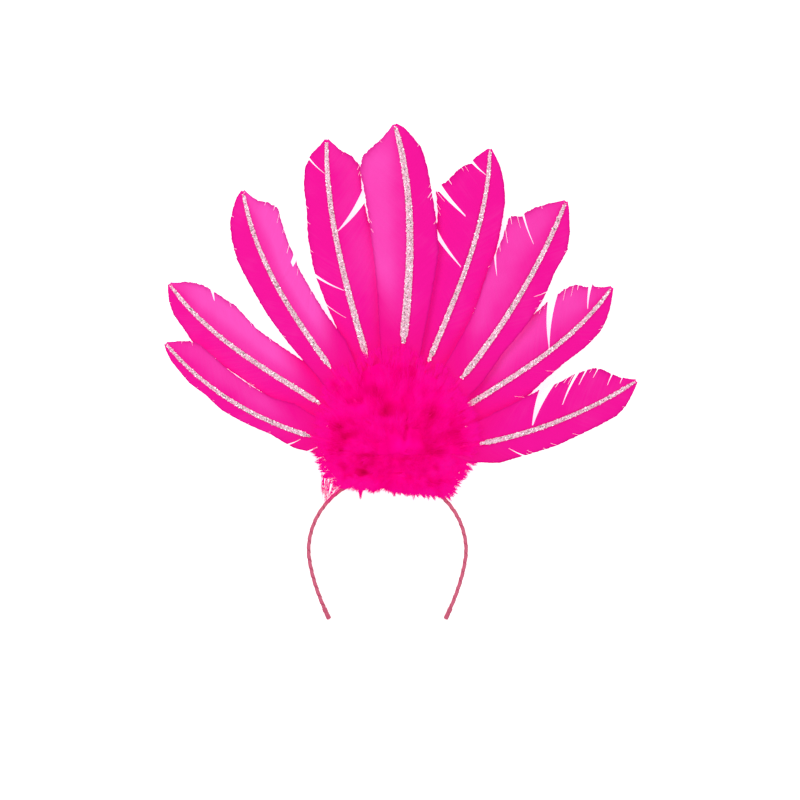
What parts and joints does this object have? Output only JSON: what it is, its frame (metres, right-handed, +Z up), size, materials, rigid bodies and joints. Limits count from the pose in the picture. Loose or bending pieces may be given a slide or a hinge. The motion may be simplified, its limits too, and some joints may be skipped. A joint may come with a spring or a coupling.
{
  "type": "carnival feather headdress",
  "caption": "Hair band wound in satin ribbon with a fan of large dyed goose feathers, each with a glitter line, behind a field of marabou fluff.",
  "frame": {"origin": "on the back edge of the hair band, in the middle of the strip at the top of its arch", "axes": "+X to the right of the front view, +Y from the band up the fan, +Z out of the front face. The headdress lies on its back, so +Z is up"},
  "size_m": [0.3795, 0.3989, 0.031],
  "materials": {
    "satin_ribbon": "rosy pink satin ribbon wound in a spiral, soft sheen, darker along the seams",
    "felt": "matt pink wool felt",
    "feather": "hot pink dyed goose feather, fine swept barbs, slight silky sheen, paler broad web",
    "glitter": "pale pink glue full of silver and gold glitter flakes",
    "marabou": "hot pink marabou down, soft and matt, darker in its hollows"
  },
  "bodies": {
    "root": {"headband": "satin_ribbon", "band_tip_left": "satin_ribbon", "band_tip_right": "satin_ribbon", "felt_base": "felt", "feather_1": "feather", "feather_2": "feather", "feather_3": "feather", "feather_4": "feather", "feather_5": "feather", "feather_6": "feather", "feather_7": "feather", "feather_8": "feather", "feather_9": "feather", "glitter_strip_1": "glitter", "glitter_strip_2": "glitter", "glitter_strip_3": "glitter", "glitter_strip_4": "glitter", "glitter_strip_5": "glitter", "glitter_strip_6": "glitter", "glitter_strip_7": "glitter", "glitter_strip_8": "glitter", "glitter_strip_9": "glitter", "marabou_fan": "marabou", "marabou_roll_upper": "marabou", "marabou_roll_lower": "marabou"}
  },
  "joints": []
}
